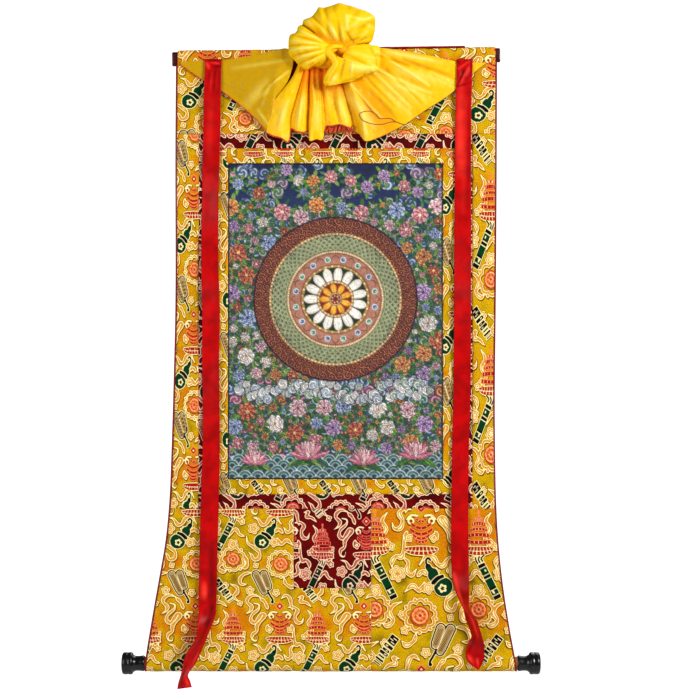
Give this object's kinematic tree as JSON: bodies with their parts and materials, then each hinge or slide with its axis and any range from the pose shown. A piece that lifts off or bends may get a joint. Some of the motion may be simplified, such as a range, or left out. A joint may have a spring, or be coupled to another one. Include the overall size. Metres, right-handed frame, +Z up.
{
  "type": "thangka scroll painting on a batten and roller",
  "caption": "Hanging scroll: a picture in yellow and dark red brocade borders, with top batten, turned-knob roller, red ribbons and a yellow silk cover gathered to a rosette.",
  "frame": {"origin": "the point of the wall behind the middle of the scroll's top edge, where it hangs", "axes": "+X to the right and +Z up, as the face is seen; the face looks along -Y and the wall is the plane y = 0; the scroll is longest along Z"},
  "size_m": [0.5852, 0.061, 0.9495],
  "materials": {
    "picture_cloth": "flat woven and printed cotton, matt",
    "yellow_brocade": "golden yellow satin brocade with coloured figures, lined",
    "red_brocade": "dark red satin brocade with cream and coloured figures, lined",
    "red_binding": "dark red cotton piping",
    "red_tape": "dark red cotton tape",
    "red_satin": "red satin ribbon, soft sheen",
    "yellow_silk": "thin bright yellow silk with an orange overlocked edge",
    "painted_wood": "wood painted dark red, satin",
    "plain_wood": "bare wood, sanded",
    "black_wood": "turned wood, black lacquer, satin"
  },
  "bodies": {
    "root": {"picture": "picture_cloth", "inner_border_top": "yellow_brocade", "inner_border_bottom": "yellow_brocade", "inner_border_left": "yellow_brocade", "inner_border_right": "yellow_brocade", "outer_border_top": "red_brocade", "outer_border_bottom": "red_brocade", "outer_border_left": "red_brocade", "outer_border_right": "red_brocade", "top_panel": "yellow_brocade", "side_panel_left": "yellow_brocade", "side_panel_right": "yellow_brocade", "lower_panel_left": "yellow_brocade", "lower_panel_centre": "yellow_brocade", "lower_panel_right": "yellow_brocade", "door_panel": "red_brocade", "binding_left": "red_binding", "binding_right": "red_binding", "hanging_tape": "red_tape", "tie_tail": "red_tape", "ribbon_left": "red_satin", "ribbon_right": "red_satin", "silk_cover": "yellow_silk", "batten": "painted_wood", "roller": "plain_wood", "knob_left": "black_wood", "knob_right": "black_wood"}
  },
  "joints": []
}
